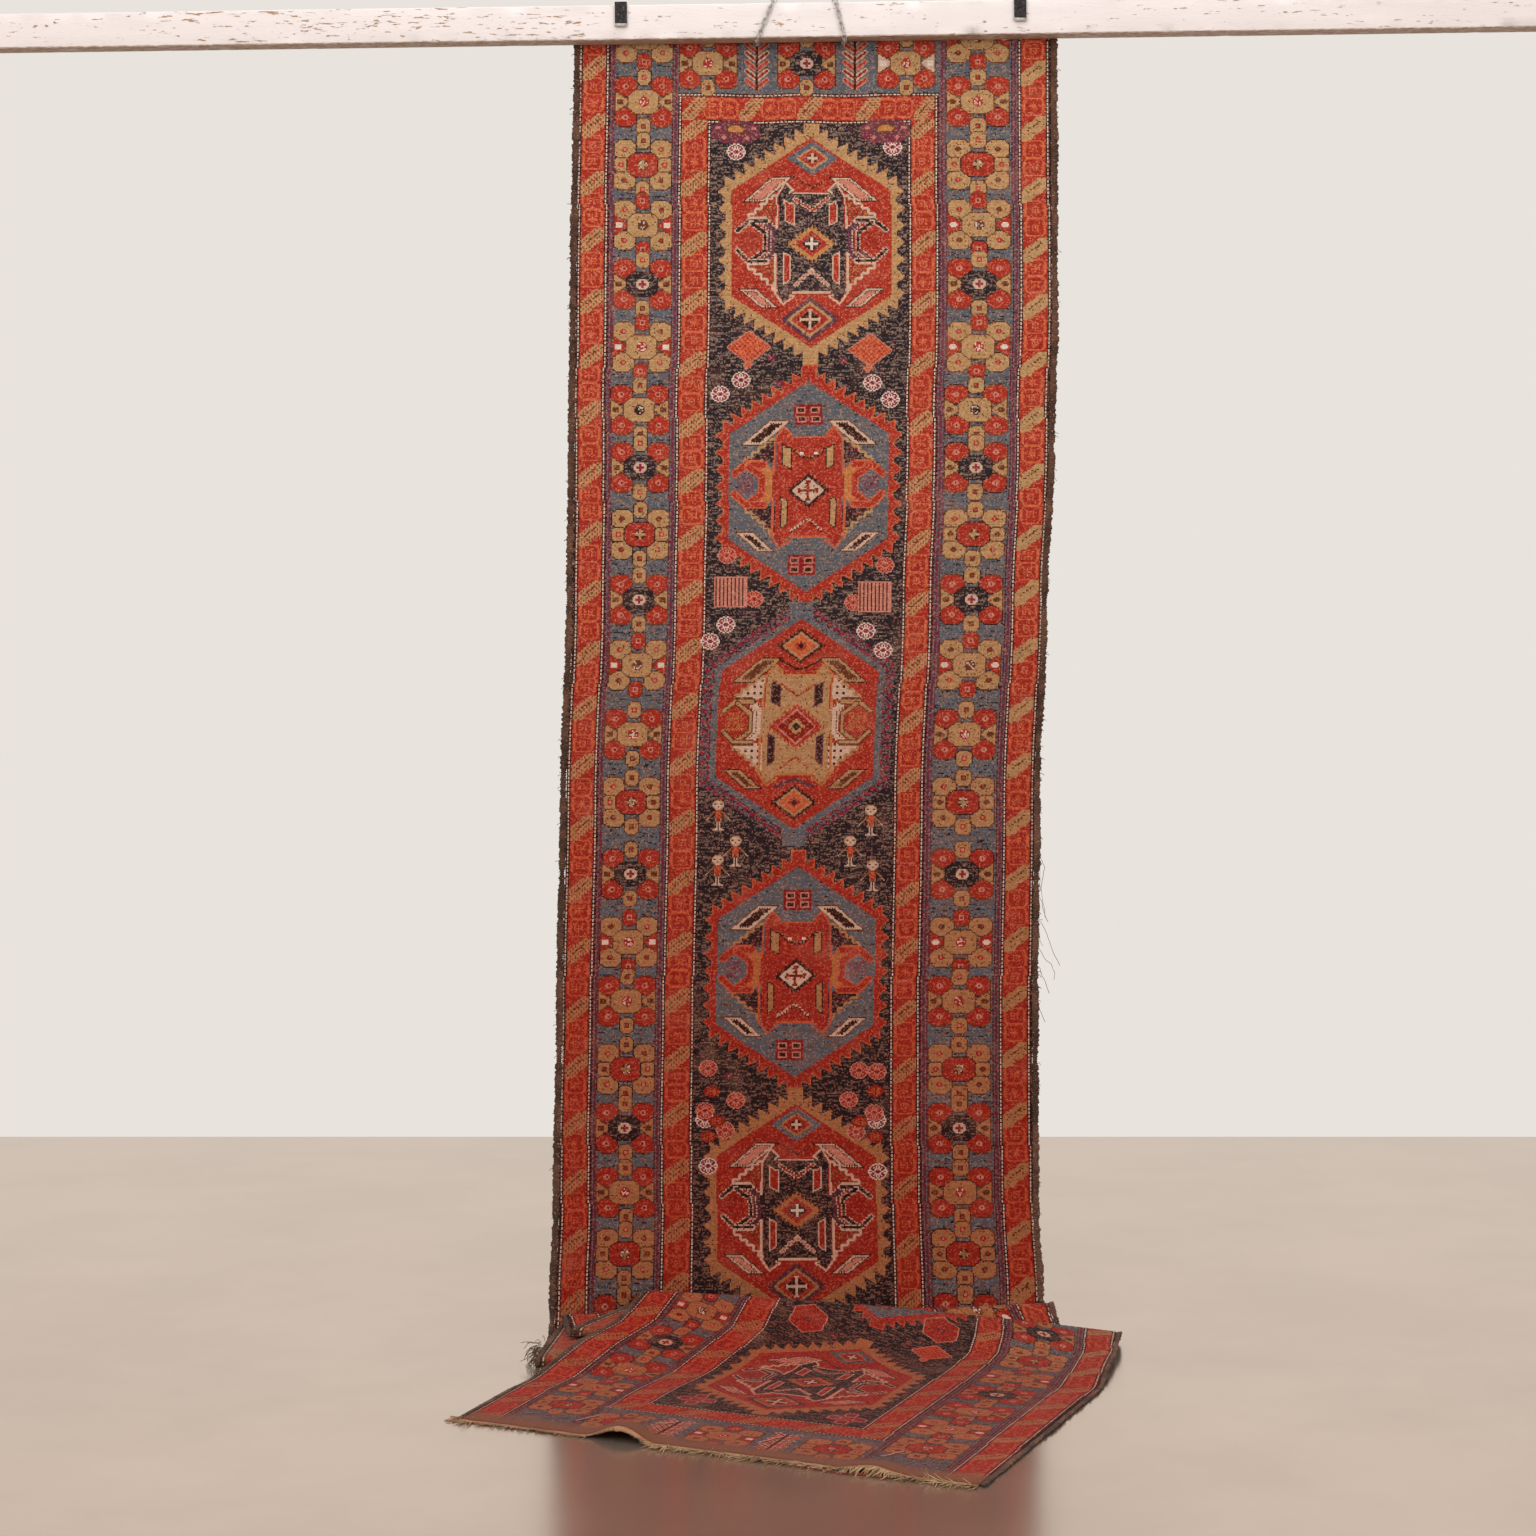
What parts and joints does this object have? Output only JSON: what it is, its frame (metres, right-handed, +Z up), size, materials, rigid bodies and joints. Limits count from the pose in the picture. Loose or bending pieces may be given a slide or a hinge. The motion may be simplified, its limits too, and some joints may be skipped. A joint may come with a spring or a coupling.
{
  "type": "persian runner rug on a hanging beam",
  "caption": "Worn hand-knotted Persian village runner hung from an old white beam, its lower end lying on the floor in low uneven folds",
  "frame": {"origin": "the point inside the sling ring where a hook carries the whole row, on the beam's middle plane", "axes": "+X along the beam to the viewer's right, +Y away from the viewer into the scene, +Z up; the rug's face looks along -Y"},
  "size_m": [3.6606, 1.1435, 3.1081],
  "materials": {
    "madder_wool": "worn hand-knotted wool pile",
    "dark_goat_hair": "ragged overcast edge",
    "undyed_cotton": "cut warp ends",
    "old_white_paint": "sawn timber under flaking white paint",
    "blackened_steel": "dull black",
    "zinc_plated_steel": "dull zinc plate"
  },
  "bodies": {
    "root": {"rug": "madder_wool", "selvedge_left": "dark_goat_hair", "selvedge_right": "dark_goat_hair", "end_fringe": "undyed_cotton", "beam": "old_white_paint", "clamp_left": "blackened_steel", "clamp_right": "blackened_steel", "sling_left": "zinc_plated_steel", "sling_right": "zinc_plated_steel", "ring": "zinc_plated_steel"}
  },
  "joints": []
}
